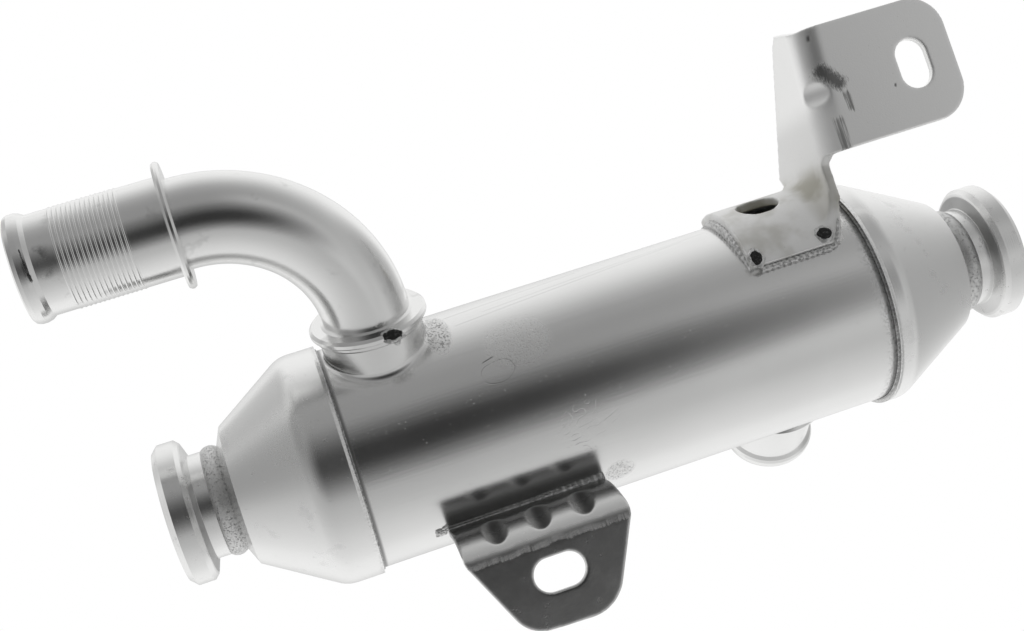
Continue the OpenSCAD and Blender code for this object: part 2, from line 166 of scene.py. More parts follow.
def shell_finish():
    made, at = start_finish("shell_mill_finish")
    x, y, z = in_mm(at)
    round_way = at.maths("ARCTAN2", z, y * -1.0) * shell_r

    def patch(centre_x, centre_round, reach_x, reach_round):
        a = (x - centre_x) / reach_x
        b = (round_way - centre_round) / reach_round
        return (a * a + b * b).fade(0.3, 1.0, 1.0, 0.0)

    def scratch(x0, s0, x1, s1, width):
        """Straight scratch from x0 to x1 along the tube and from s0 to s1 round it."""
        slope = (s1 - s0) / (x1 - x0)
        off = abs(round_way - ((x - x0) * slope + s0))
        inside = x.fade(x0 - 0.5, x0 + 0.5) * x.fade(x1 - 0.5, x1 + 0.5, 1.0, 0.0)
        return off.fade(width * 0.4, width, 1.0, 0.0) * inside

    cloud = at.noise(45.0, 4.0)
    lines = at.noise(1.0, 3.0, (60.0, 1500.0, 1500.0))
    grain = at.noise(2600.0, 2.0)
    pits = at.noise(1500.0, 2.0).fade(0.7, 0.77)
    specks = at.noise(1900.0, 3.0, roughness=0.75).fade(0.5, 0.62)
    rubbed = patch(97.0, 16.0, 11.0, 9.5)
    sooty = patch(78.6, 28.0, 4.2, 10.5)
    seams = (x.fade(inlet_lip_x + 0.7, inlet_lip_x + 1.6, 1.0, 0.0)
             + x.fade(outlet_lip_x - 2.2, outlet_lip_x - 1.0))
    braze = x.fade(outlet_lip_x - 4.6, outlet_lip_x - 1.4) * specks
    stain = patch(113.2, -29.2, 4.8, 5.0)
    # Painted olive shade on the shell where it shows down the saddle's hole.
    painted_shade_under_hole = patch(172.2, 34.0, 8.5, 9.0)
    swirl = at.noise(150.0, 1.0) * 9.0
    rings = abs(swirl.maths("FRACT", swirl) - 0.5).fade(0.0, 0.05, 1.0, 0.0)
    scuffs = rings * patch(107.0, -11.5, 10.0, 8.0)
    loop_x, loop_round = 89.5, 9.4
    loop_a = (x - loop_x) / 4.6 + (cloud - 0.5) * 1.6
    loop_b = (round_way - loop_round - (x - loop_x) * 0.12) / 2.6 + (at.noise(110.0, 1.0) - 0.5) * 1.4
    loop = abs((loop_a * loop_a + loop_b * loop_b) - 1.0).fade(0.02, 0.1, 1.0, 0.0)
    loop = loop * cloud.fade(0.42, 0.55)
    long_lines = (scratch(84.0, 27.8, 150.0, 34.8, 0.16) + scratch(82.0, 33.5, 120.0, 37.2, 0.2)
                  + scratch(92.0, 30.6, 158.0, 36.6, 0.14))
    cut = scratch(86.6, 12.8, 89.6, 13.6, 0.22)
    dark = (rubbed * specks * 0.22 + sooty * specks * 0.8 + braze * 0.25 + stain * specks * 0.6
            + seams * 0.75 + loop * 0.4 + long_lines * 0.25 + cut * 0.9)
    tone = dark.maths("MINIMUM", dark, 0.95).blend(cloud.blend(grey(0.74), grey(0.82)), grey(0.14))
    # The patch under the saddle's hole is painted shade.
    tone = painted_shade_under_hole.blend(tone, (0.5, 0.48, 0.36, 1.0))
    rough = 0.17 + cloud * 0.05 + grain * 0.04 + rubbed * 0.08 + sooty * 0.2 + stain * 0.15 + seams * 0.2
    height = (lines * 0.3 + grain * 0.2 + pits * 0.6 - rubbed * specks * 0.6 - sooty * specks * 1.6
              - scuffs * 0.6 - loop * 0.6 - braze * 0.8 - stain * specks - cut)
    return close_finish(made, tone, rough, height, depth=0.00004)


mill_finish = shell_finish()
wear(nodes["shell"], mill_finish)


def turned(px, b, h, turn):
    """Point at height h over the shell's axis and b across, turned about the axis by an angle."""
    t = math.radians(turn)
    return (px, b * math.cos(t) - h * math.sin(t), b * math.sin(t) + h * math.cos(t))


def over_shell(b):
    """Height of the shell's surface over its axis, b across from the middle."""
    return math.sqrt(shell_r ** 2 - b * b)


def drawn_root(name, port_x, turn):
    """The small hollow radius in which the shell's wall turns up into a drawn neck."""
    steps, rise = 90, 8
    neck_r, sunk, skin = 13.4, 0.3, 0.02
    spots = []
    for i in range(steps):
        a = 2.0 * math.pi * i / steps
        size = 1.4 + 0.35 * math.cos(a)
        foot_r = neck_r + size
        on_neck = over_shell(neck_r * math.sin(a))
        on_shell = over_shell(foot_r * math.sin(a))
        high = Vector((neck_r + skin, on_neck + size))
        corner = Vector((neck_r + skin, on_neck))
        low = Vector((foot_r, on_shell + skin))
        ring = [Vector((neck_r - sunk, on_neck + size))]
        for k in range(rise + 1):
            t = k / rise
            ring.append(high * (1 - t) ** 2 + corner * 2 * t * (1 - t) + low * t ** 2)
        ring += [Vector((foot_r, on_shell - sunk)), Vector((neck_r - sunk, on_neck - sunk))]
        spots += [Vector(turned(port_x + r * math.cos(a), r * math.sin(a), h, turn)) / 1000.0
                  for r, h in ring]
    many = len(ring)
    faces = [(i * many + k, i * many + (k + 1) % many, (i + 1) % steps * many + (k + 1) % many,
              (i + 1) % steps * many + k) for i in range(steps) for k in range(many)]
    mesh = bpy.data.meshes.new(name)
    mesh.from_pydata(spots, [], faces)
    mesh.shade_smooth()
    mesh.set_sharp_from_angle(angle=math.radians(35.0))
    piece = bpy.data.objects.new(name, mesh)
    scene.collection.objects.link(piece)
    wear(piece, mill_finish)
    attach(piece, "root")


inlet_port_x, inlet_turn = 63.1, 30.0
outlet_port_x, outlet_turn = 174.2, -122.5
drawn_root("inlet_neck_root", inlet_port_x, inlet_turn)
drawn_root("outlet_neck_root", outlet_port_x, outlet_turn)


# Tube sheets and gas tubes: plain stainless, brazed inside the shell, seen only down the gas bores.
# They are dull and faintly browned by the furnace.
def furnace_finish():
    made, at = start_finish("furnace_dulled_steel")
    cloud = at.noise(120.0, 4.0)
    tone = cloud.blend((0.42, 0.40, 0.37, 1.0), (0.58, 0.57, 0.55, 1.0))
    return close_finish(made, tone, 0.42 + cloud * 0.12, at.noise(1800.0), depth=0.00004)


inner_finish = furnace_finish()
for name, node in nodes.items():
    if name.startswith("gas_tube") or name.endswith("tube_sheet"):
        wear(node, inner_finish)


# Cones: pressed from stainless sheet, brighter than the shell, with their skirts over its ends.
# The pressing leaves rings round them and turns their lips a little, and they carry finger marks.
def cone_finish(name, lip_x, inward, roll):
    made, at = start_finish(name)
    in_from_lip = (in_mm(at)[0] - lip_x) * inward
    cloud = at.noise(38.0, 4.0)
    smudge = at.noise(95.0, 3.0, roughness=0.7).fade(0.58, 0.72)
    rings = at.noise(1.0, 2.0, (900.0, 14.0, 14.0))
    grain = at.noise(2800.0, 2.0)
    pits = at.noise(900.0, 2.0).fade(0.7, 0.75)
    lip = in_from_lip.fade(0.2, 1.6, 1.0, 0.0) * at.noise(1700.0, 2.0).fade(0.45, 0.6)
    rolled = in_from_lip.fade(0.0, 1.1) * roll
    tone = (smudge * 0.14 + pits * 0.25 + lip * 0.3).blend(cloud.blend(grey(0.8), grey(0.86)), grey(0.4))
    rough = 0.21 + cloud * 0.06 + smudge * 0.05 + grain * 0.04
    height = rings * 0.3 + grain * 0.2 + pits * 0.7 - lip * 0.6 + rolled
    return close_finish(made, tone, rough, height, depth=0.00003)


wear(nodes["inlet_cone"], cone_finish("inlet_cone_sheet", inlet_lip_x, inward=-1.0, roll=14.0))
wear(nodes["outlet_cone"], cone_finish("outlet_cone_sheet", outlet_lip_x, inward=1.0, roll=-12.0))


# Braze in the seams: filler metal drawn into the joint at each cone's lip. It is dark and dull
# against the steel, and no wider than a millimetre.
def filler_tree():
    tree = bpy.data.node_groups.new("filler_run", "GeometryNodeTree")
    tree.interface.new_socket("Path", in_out="INPUT", socket_type="NodeSocketGeometry")
    for name, kind in (("Half width", "Float"), ("Ripple pitch", "Float"), ("Ripple share", "Float"),
                       ("Seed", "Int"), ("Finish", "Material")):
        tree.interface.new_socket(name, in_out="INPUT", socket_type="NodeSocket" + kind)
    tree.interface.new_socket("Run", in_out="OUTPUT", socket_type="NodeSocketGeometry")
    path = Flow(tree).node("NodeGroupInput")
    pitch = path.also("Ripple pitch")
    share = path.also("Ripple share")
    even = path.node("GeometryNodeResampleCurve", {"mode": "LENGTH"},
                     {"Curve": path, "Length": pitch / 6.0})
    along = path.node("GeometryNodeSplineParameter", out="Length")
    ripple = along.maths("SINE", along / pitch * (2.0 * math.pi))
    uneven = path.node("ShaderNodeTexNoise", {"noise_dimensions": "4D"},
                       {"W": path.also("Seed"), "Scale": 420.0, "Detail": 2.0})
    local = path.node("GeometryNodeInputRadius")
    half = path.also("Half width") * local * (1.0 + ripple * share + (uneven - 0.5) * share * 3.0)
    ring = path.node("GeometryNodeCurvePrimitiveCircle", {"mode": "RADIUS"},
                     {"Resolution": 12, "Radius": 1.0})
    swept = path.node("GeometryNodeCurveToMesh", {},
                      {"Curve": even, "Profile Curve": ring, "Scale": half, "Fill Caps": True})
    smooth = path.node("GeometryNodeSetShadeSmooth", {}, {"Geometry": swept})
    plain = path.node("GeometryNodeRealizeInstances", {}, {"Geometry": smooth})
    dressed = path.node("GeometryNodeSetMaterial", {}, {"Geometry": plain, "Material": path.also("Finish")})
    path.node("NodeGroupOutput", {}, {0: dressed})
    return tree


filler = filler_tree()


def grown(guide, tree, values):
    """Plain mesh that a tree makes of its guide, with the tree's named inputs set first."""
    scene.collection.objects.link(guide)
    maker = guide.modifiers.new(tree.name, "NODES")
    maker.node_group = tree
    sockets = {item.name: item.identifier for item in tree.interface.items_tree if item.in_out == "INPUT"}
    for key, value in values.items():
        maker[sockets[key]] = value
    graph = bpy.context.evaluated_depsgraph_get()
    graph.update()
    mesh = bpy.data.meshes.new_from_object(guide.evaluated_get(graph))
    bpy.data.objects.remove(guide)
    return mesh


def filler_run(name, points, closed, half_mm, pitch_mm, share, seed, finish):
    """Run of filler along points, each with its place and its own share of the half width."""
    curve = bpy.data.curves.new(name, "CURVE")
    curve.dimensions = "3D"
    line = curve.splines.new("POLY")
    line.points.add(len(points) - 1)
    for spot, (px, py, pz, weight) in zip(line.points, points):
        spot.co = (px / 1000.0, py / 1000.0, pz / 1000.0, 1.0)
        spot.radius = weight
    line.use_cyclic_u = closed
    mesh = grown(bpy.data.objects.new(name + "_guide", curve), filler,
                 {"Half width": half_mm / 1000.0, "Ripple pitch": pitch_mm / 1000.0,
                  "Ripple share": share, "Seed": seed, "Finish": finish})
    piece = bpy.data.objects.new(name, mesh)
    scene.collection.objects.link(piece)
    wear(piece, finish)
    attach(piece, "root")


def braze_finish():
    made, at = start_finish("dull_braze")
    cloud = at.noise(220.0, 4.0)
    grain = at.noise(1600.0, 3.0)
    tone = (grain.fade(0.42, 0.62) * 0.7).blend(cloud.blend(grey(0.4), grey(0.62)), grey(0.16))
    return close_finish(made, tone, 0.34 + cloud * 0.14, grain, depth=0.00006)


seam_braze = braze_finish()


def seam_line(seam_x):
    seam_r = shell_r + 0.15
    return [(seam_x, -seam_r * math.cos(math.radians(a)), seam_r * math.sin(math.radians(a)), 1.0)
            for a in range(0, 360, 3)]


for name, seam_x, seed in (("inlet_seam_braze", inlet_lip_x + 0.1, 3),
                           ("outlet_seam_braze", outlet_lip_x - 0.1, 5)):
    filler_run(name, seam_line(seam_x), closed=True, half_mm=0.34, pitch_mm=2.2, share=0.10, seed=seed,
               finish=seam_braze)


# Clamp flanges: turned from bar, with the fine rings of the tool on every face. The slope behind
# the rim is rougher and carries painted shade, darkest towards the outlet's top and the inlet's bottom.
def turned_finish():
    made, at = start_finish("turned_flange_steel")
    x, y, z = in_mm(at)
    cloud = at.noise(70.0, 3.0)
    rings = at.noise(1.0, 2.0, (4200.0, 20.0, 20.0))
    marks = at.noise(420.0, 3.0, roughness=0.7).fade(0.6, 0.72)
    middle_x = cad_box[1][0] * 1000.0 / 2.0
    from_axis = at.maths("SQRT", y * y + z * z)
    from_face = middle_x - abs(x - middle_x)
    # Painted shade on the slope behind each rim, stronger towards one side.
    painted_slope_shade = (from_axis.fade(14.0, 14.3) * from_axis.fade(17.0, 17.5, 1.0, 0.0)
               * from_face.fade(6.4, 7.0))
    darker_side = ((x - middle_x) * z).fade(-1400.0, 600.0, 0.25, 1.0)
    painted_slope_shade = painted_slope_shade * darker_side * (0.7 + cloud * 0.4)
    tone = (marks * 0.25).blend(cloud.blend(grey(0.78), grey(0.85)), grey(0.36))
    tone = (painted_slope_shade * 0.8).blend(tone, grey(0.22))
    rough = 0.2 + cloud * 0.06 + marks * 0.1 + painted_slope_shade * 0.1
    return close_finish(made, tone, rough, rings * 0.5 - marks * 0.4, depth=0.00003)


flange_finish = turned_finish()
wear(nodes["inlet_flange"], flange_finish)
wear(nodes["outlet_flange"], flange_finish)


# Weld beads round the necks: the joint between flange and cone, run in one pass on a turntable.
# The bead is low and grainy, with dark pores and a greyer heat band.
def weld_finish():
    made, at = start_finish("grainy_weld")
    cloud = at.noise(160.0, 4.0)
    grain = at.noise(1700.0, 4.0, roughness=0.75)
    pores = grain.fade(0.52, 0.66)
    tone = (pores * 0.55).blend(cloud.blend(grey(0.58), grey(0.78)), grey(0.14))
    rough = 0.3 + cloud * 0.12 + pores * 0.2
    return close_finish(made, tone, rough, grain * 0.8 - pores * 1.2, depth=0.00014)


bead_finish = weld_finish()
wear(nodes["inlet_weld"], bead_finish)
wear(nodes["outlet_weld"], bead_finish)


# Coolant inlet: one stainless tube bent through a quarter turn, with a rolled foot, a folded hose
# stop and a hose nipple. Painted dark reflection lies in the hollow behind the nipple's end bead, and grime
# in a ragged line on it.
def pipe_finish():
    made, at = start_finish("bent_tube_steel")
    x, y, z = in_mm(at)
    cloud = at.noise(50.0, 4.0)
    grain = at.noise(2600.0, 2.0)
    lines = at.noise(1.0, 2.0, (30.0, 700.0, 700.0))
    # Painted dark reflection in the hollow behind the nipple's end bead.
    painted_reflection_behind_bead = x.fade(-7.2, -6.2) * x.fade(-5.4, -2.6, 1.0, 0.0) * y.fade(-49.2, -48.2, 1.0, 0.0)
    painted_reflection_behind_bead = painted_reflection_behind_bead * z.fade(60.0, 62.0) * z.fade(67.0, 69.0, 1.0, 0.0)
    line_x, line_z, line_slope, line_half = -9.15, 65.0, 0.064, 0.95
    off_line = abs(x - line_x + (z - line_z) * line_slope) / (line_half - (z - 60.0) * 0.07)
    on_bead = off_line.fade(0.2, 1.0, 1.0, 0.0) * z.fade(59.8, 61.2) * z.fade(68.4, 69.8, 1.0, 0.0)
    ragged = at.noise(1.0, 4.0, (1100.0, 1100.0, 700.0), 0.8)
    on_bead = (on_bead * y.fade(-48.0, -47.0, 1.0, 0.0) * 0.6 + ragged).fade(0.98, 1.1)
    # The ragged line on the bead is grime; the patch behind the bead is painted reflection.
    grime_and_painted_reflection = at.maths("MAXIMUM", painted_reflection_behind_bead * at.noise(240.0, 3.0).fade(0.4, 0.56) * 0.7, on_bead)
    smudge = at.noise(130.0, 3.0, roughness=0.7).fade(0.6, 0.72)
    tone = (grime_and_painted_reflection * 0.9 + smudge * 0.12).blend(cloud.blend(grey(0.78), grey(0.85)), grey(0.02))
    rough = 0.16 + cloud * 0.05 + smudge * 0.05 + grain * 0.03 + grime_and_painted_reflection * 0.2
    return close_finish(made, tone, rough, lines * 0.25 + grain * 0.2, depth=0.00003)


tube_finish = pipe_finish()
wear(nodes["coolant_inlet_pipe"], tube_finish)


# Grip ridges: fifteen low ridges rolled up round the hose nipple from the tube's own wall. They
# keep the hose from creeping off, and stand less than a quarter of a millimetre proud.
def ridge_tree():
    per_ridge, round_steps = 12, 160
    tree = bpy.data.node_groups.new("grip_ridges", "GeometryNodeTree")
    tree.interface.new_socket("Guide", in_out="INPUT", socket_type="NodeSocketGeometry")
    for name, kind in (("Count", "Int"), ("Pitch", "Float"), ("End lead", "Float"),
                       ("Underside radius", "Float"), ("Foot rise", "Float"), ("Ridge height", "Float"),
                       ("Start", "Vector"), ("Finish", "Material")):
        tree.interface.new_socket(name, in_out="INPUT", socket_type="NodeSocket" + kind)
    tree.interface.new_socket("Ridges", in_out="OUTPUT", socket_type="NodeSocketGeometry")
    given = Flow(tree).node("NodeGroupInput")
    count = given.also("Count")
    line = given.node("GeometryNodeCurvePrimitiveLine")
    line = given.node("GeometryNodeResampleCurve", {"mode": "COUNT"},
                      {"Curve": line, "Count": count * per_ridge + 3.0})
    step = (given.node("GeometryNodeInputIndex") - 1.0) / per_ridge
    inside = step.maths("MINIMUM", step.maths("MAXIMUM", step, 0.0), count)
    past_end = (step - inside) * per_ridge
    wave = step.maths("COSINE", inside * (2.0 * math.pi)) * -1.0
    crest = wave.maths("MAXIMUM", wave, 0.0)
    height = (given.also("Foot rise") + given.also("Ridge height") * crest) * (1.0 - abs(past_end))
    along = inside * given.also("Pitch") + past_end * given.also("End lead")
    spot = given.node("ShaderNodeCombineXYZ", {}, {"X": height, "Y": along})
    outline = given.node("GeometryNodeSetPosition", {}, {"Geometry": line, "Position": spot})
    outline = given.node("GeometryNodeSetSplineCyclic", {}, {"Geometry": outline, "Cyclic": True})
    ring = given.node("GeometryNodeCurvePrimitiveCircle", {"mode": "RADIUS"},
                      {"Resolution": round_steps, "Radius": given.also("Underside radius")})
    swept = given.node("GeometryNodeCurveToMesh", {}, {"Curve": ring, "Profile Curve": outline})
    smooth = given.node("GeometryNodeSetShadeSmooth", {}, {"Geometry": swept})
    placed = given.node("GeometryNodeTransform", {},
                        {"Geometry": smooth, "Translation": given.also("Start"),
                         "Rotation": (0.0, -math.pi / 2.0, 0.0)})
    plain = given.node("GeometryNodeRealizeInstances", {}, {"Geometry": placed})
    dressed = given.node("GeometryNodeSetMaterial", {},
                         {"Geometry": plain, "Material": given.also("Finish")})
    given.node("NodeGroupOutput", {}, {0: dressed})
    return tree


nipple_height = 76.4
ridges_start_x, ridges_end_x, ridge_count = -2.2, 14.5, 15
under_r, valley_r, crest_r = 12.2, 12.43, 12.58
ridge_pitch, end_lead = (ridges_end_x - ridges_start_x) / ridge_count, 0.2
ridges_guide = bpy.data.objects.new("nipple_ridges_guide", bpy.data.meshes.new("nipple_ridges_guide"))
ridges_mesh = grown(ridges_guide, ridge_tree(),
                    {"Count": ridge_count, "Pitch": ridge_pitch / 1000.0, "End lead": end_lead / 1000.0,
                     "Underside radius": under_r / 1000.0, "Foot rise": (valley_r - under_r) / 1000.0,
                     "Ridge height": (crest_r - valley_r) / 1000.0,
                     "Start": Vector(turned(ridges_start_x, 0.0, nipple_height, inlet_turn)) / 1000.0,
                     "Finish": tube_finish})
ridges_mesh.set_sharp_from_angle(angle=math.radians(35.0))
ridges = bpy.data.objects.new("nipple_ridges", ridges_mesh)
scene.collection.objects.link(ridges)
wear(ridges, tube_finish)
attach(ridges, "root")


# Tack on the pipe's foot: one burnt spot of weld that held the pipe while the furnace brazed it.
# Its crater is black and rough inside a grey rim that has run down over the lip.
def char_finish():
    made, at = start_finish("burnt_tack")
    grain = at.noise(1500.0, 4.0, roughness=0.75)
    tone = grain.fade(0.5, 0.75).blend(grey(0.012), grey(0.16))
    return close_finish(made, tone, 0.55 + grain * 0.25, grain, depth=0.0003, metallic=0.3)


burnt = char_finish()


def fillet_finish():
    made, at = start_finish("smooth_fillet")
    cloud = at.noise(130.0, 4.0)
    grain = at.noise(2000.0, 3.0)
    tone = grain.fade(0.6, 0.7).blend(cloud.blend(grey(0.66), grey(0.78)), grey(0.3))
    return close_finish(made, tone, 0.22 + cloud * 0.1, grain, depth=0.00004)


run_down = fillet_finish()


def lump(name, centre, outward, along, half, seed, finish):
    """Irregular drop of weld: half is its reach along, across and out of the surface in mm."""
    up = Vector(outward).normalized()
    side = (Vector(along) - up * up.dot(Vector(along))).normalized()
    across = up.cross(side)
    shape = bmesh.new()
    bmesh.ops.create_icosphere(shape, subdivisions=4, radius=1.0)
    for spot in shape.verts:
        d = spot.co.normalized()
        swell = 1.0 + 0.22 * noise.noise(d * 1.7 + Vector((seed, 0.0, 0.0))) + 0.07 * noise.noise(d * 6.0)
        local = (side * d.x * half[0] + across * d.y * half[1] + up * d.z * half[2]) * swell
        spot.co = (Vector(centre) + local) / 1000.0
    for face in shape.faces:
        face.smooth = True
    bmesh.ops.recalc_face_normals(shape, faces=shape.faces)
    mesh = bpy.data.meshes.new(name)
    shape.to_mesh(mesh)
    shape.free()
    piece = bpy.data.objects.new(name, mesh)
    scene.collection.objects.link(piece)
    wear(piece, finish)
    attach(piece, "root")


foot_spot = Vector(turned(66.9, -14.3, 37.8, inlet_turn))
foot_out = (0.18, -0.94, 0.27)
along_tube = (1.0, 0.0, 0.0)
crater_spot = foot_spot + Vector((0.05, -0.35, 0.1))
run_spot = turned(67.4, -14.6, 36.6, inlet_turn)
lump("foot_tack_rim", foot_spot, foot_out, along_tube, half=(2.9, 2.0, 0.7), seed=2.0, finish=bead_finish)
lump("foot_tack", crater_spot, foot_out, along_tube, half=(2.4, 1.4, 0.5), seed=4.0, finish=burnt)
lump("foot_tack_run", run_spot, foot_out, (0.3, 0.0, -1.0), half=(1.5, 1.1, 0.7), seed=6.0, finish=run_down)


# Coolant outlet: the straight nipple at the back, of the same stainless tube, with a rolled foot
# like the inlet's. The furnace brazes it to the shell's other neck.
wear(nodes["coolant_outlet_pipe"], tube_finish)


# Upper bracket: thick sheet steel with a matt rolled surface and edges rounded by the press tool.
# The fold is marked dark where the tool dragged and carries painted shade along its crease; brazing has
# tinted the sheet by the saddle, and painted shade darkens the hollow where the saddle turns up into the
# riser.
def upper_plate_finish():
    made, at = start_finish("matt_rolled_sheet")
    x, y, z = in_mm(at)

    def streak(x0, z0, x1, z1, width, taper):
        """Mark on the front of the sheet from one place to another, thin at its ends."""
        run = math.hypot(x1 - x0, z1 - z0)
        ux, uz = (x1 - x0) / run, (z1 - z0) / run
        along = (x - x0) * ux + (z - z0) * uz
        off = abs((x - x0) * uz - (z - z0) * ux)
        return (off.fade(0.0, width, 1.0, 0.0) * along.fade(0.0, taper)
                * along.fade(run - taper, run, 1.0, 0.0) * y.fade(-24.0, -27.0))

    cloud = at.noise(42.0, 4.0)
    grain = at.noise(2200.0, 3.0)
    specks = at.noise(700.0, 3.0, roughness=0.7).fade(0.66, 0.74)
    strokes = at.noise(1.0, 4.0, (2300.0, 2300.0, 800.0), 0.75)
    threads = at.noise(1.0, 3.0, (1900.0, 1900.0, 90.0), 0.65)
    scuff = (streak(192.8, 61.2, 201.2, 50.4, 4.6, 4.0) * 0.8 + strokes).fade(0.76, 1.25)
    thread = (streak(199.5, 53.0, 199.9, 43.6, 2.0, 3.0) * 0.55 + threads).fade(0.78, 1.05) * 0.8
    bruise = (streak(195.6, 46.4, 194.9, 34.0, 2.9, 2.5) * 0.45 + threads).fade(0.66, 1.05) * 0.75
    # Painted shade along the fold's crease.
    painted_crease_shade = streak(196.0, 73.0, 194.2, 57.5, 3.4, 3.0) * (0.25 + cloud * 0.3)
    nick = streak(195.2, 68.4, 194.8, 66.0, 0.7, 1.0) + streak(213.6, 49.4, 213.2, 48.0, 0.5, 0.6)
    drag = at.maths("MINIMUM", scuff + thread + bruise + nick, 1.0)
    # Painted shade in the hollow where the saddle turns up into the riser, added to the braze tint below.
    painted_turn_up_shade = x.fade(181.0, 185.5) * z.fade(31.0, 36.5, 1.0, 0.0) * y.fade(-27.2, -26.2)
    braze_tint_and_shade = z.fade(32.0, 38.0, 1.0, 0.0) * at.noise(90.0, 3.0).fade(0.4, 0.65) * 0.4 + painted_turn_up_shade * 0.45
    tone = painted_crease_shade.blend(cloud.blend(grey(0.9), grey(0.95)), grey(0.4))
    tone = (drag * 0.85 + specks * 0.1).blend(tone, grey(0.1))
    tone = braze_tint_and_shade.blend(tone, (0.46, 0.445, 0.385, 1.0))
    matt = z.fade(54.0, 45.0) * x.fade(200.0, 194.0)
    rough = 0.34 + cloud * 0.08 + drag * 0.1 + matt * 0.26
    return close_finish(made, tone, rough, grain * 0.45 - drag * 1.2 - specks * 0.3, depth=0.00005)


def pressed_copy(name, node_name, finish, trim=None):
    """The sheet's solid on a fine even mesh, its edges softened as the press tool leaves them."""
    shape = bmesh.new()
    shape.from_mesh(nodes[node_name].data)
    bmesh.ops.remove_doubles(shape, verts=shape.verts, dist=0.000002)
    mesh = bpy.data.meshes.new(name)
    shape.to_mesh(mesh)
    shape.free()
    blank = bpy.data.objects.new(name + "_blank", mesh)
    scene.collection.objects.link(blank)
    if trim:
        cut = blank.modifiers.new("blunt_edge", "BOOLEAN")
        cut.operation = "DIFFERENCE"
        cut.solver = "EXACT"
        cut.object = trim
    even = blank.modifiers.new("even_mesh", "REMESH")
    even.mode = "VOXEL"
    even.voxel_size = 0.00032
    even.use_smooth_shade = True
    soft = blank.modifiers.new("soft_edges", "SMOOTH")
    soft.factor = 0.5
    soft.iterations = 10
    graph = bpy.context.evaluated_depsgraph_get()
    graph.update()
    piece = bpy.data.objects.new(name, bpy.data.meshes.new_from_object(blank.evaluated_get(graph)))
    bpy.data.objects.remove(blank)
    scene.collection.objects.link(piece)
    wear(piece, finish)
    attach(piece, "root")
    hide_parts(node_name)


upper_sheet = upper_plate_finish()
wear(nodes["upper_bracket"], upper_sheet)
# Below the plate the riser's near edge is cut blunt, clear of the fold.
riser_slope, riser_top = 0.07, 36.4
block_corners = [((bx + (bz - riser_top) * riser_slope) / 1000.0, by / 1000.0, bz / 1000.0)
                 for bx in (191.5, 199.0) for by in (-34.0, -20.0) for bz in (16.0, 35.2)]
block_sides = [(0, 1, 3, 2), (4, 6, 7, 5), (0, 4, 5, 1), (2, 3, 7, 6), (0, 2, 6, 4), (1, 5, 7, 3)]
blunt_block = bpy.data.objects.new("blunt_block", bpy.data.meshes.new("blunt_block"))
blunt_block.data.from_pydata(block_corners, [], block_sides)
scene.collection.objects.link(blunt_block)
pressed_copy("upper_bracket_sheet", "upper_bracket", upper_sheet, blunt_block)
bpy.data.objects.remove(blunt_block)

# Welds of the saddle: a bead along its near edge and across its far end, laid by hand, and two
# burnt tacks at the corners that held it first.
saddle_end_x, arch_lift, arch_r, arch_half, tack_r = 160.9, 9.1, 22.7, 15.9, 25.1
edge_x, edge_run, edge_steps, edge_b, edge_h = 163.2, 19.6, 14, -17.1, 25.1
near_edge = [turned(edge_x + edge_run * i / edge_steps, edge_b, edge_h, inlet_turn) + (1.0,)
             for i in range(edge_steps + 1)]
near_edge += [(184.4, -27.3, 13.5, 1.0), (185.8, -27.5, 15.4, 0.9), (186.9, -27.4, 17.6, 0.7),
              (187.8, -27.1, 20.0, 0.4)]
filler_run("saddle_edge_weld", near_edge, closed=False, half_mm=0.85, pitch_mm=1.6, share=0.14, seed=11,
           finish=bead_finish)
end_span = 23.6
far_end = []
for i in range(-11, 12):
    b = end_span * math.sin(math.radians(i * 4.0))
    on_shell = over_shell(b)
    under_sheet = arch_lift + math.sqrt(arch_r ** 2 - min(b * b, arch_half ** 2))
    gap = under_sheet - on_shell
    far_end.append(turned(saddle_end_x, b, on_shell + gap / 2, inlet_turn) + (max(0.6, gap / 2 + 0.55),))
filler_run("saddle_end_weld", far_end, closed=False, half_mm=1.0, pitch_mm=1.8, share=0.08, seed=13,
           finish=bead_finish)
corner_tacks = ((162.8, -40.0, (1.5, 2.1, 0.6)), (182.4, -38.5, (1.9, 1.8, 0.6)))
rim_w, tack_lift = 0.7, 0.4
for i, (tack_x, angle, half) in enumerate(corner_tacks):
    b, h = math.sin(math.radians(angle)), math.cos(math.radians(angle))
    out = turned(0.0, b, h, inlet_turn)
    on_sheet = turned(tack_x, tack_r * b, arch_lift + tack_r * h, inlet_turn)
    rim_half = (half[0] + rim_w, half[1] + rim_w, 0.6)
    lump("saddle_tack_rim_%d" % (i + 1), on_sheet, out, along_tube, rim_half, seed=8.0 + i,
         finish=bead_finish)
    proud = Vector(on_sheet) + Vector(out) * tack_lift
    lump("saddle_tack_%d" % (i + 1), proud, out, along_tube, half, seed=12.0 + i, finish=burnt)
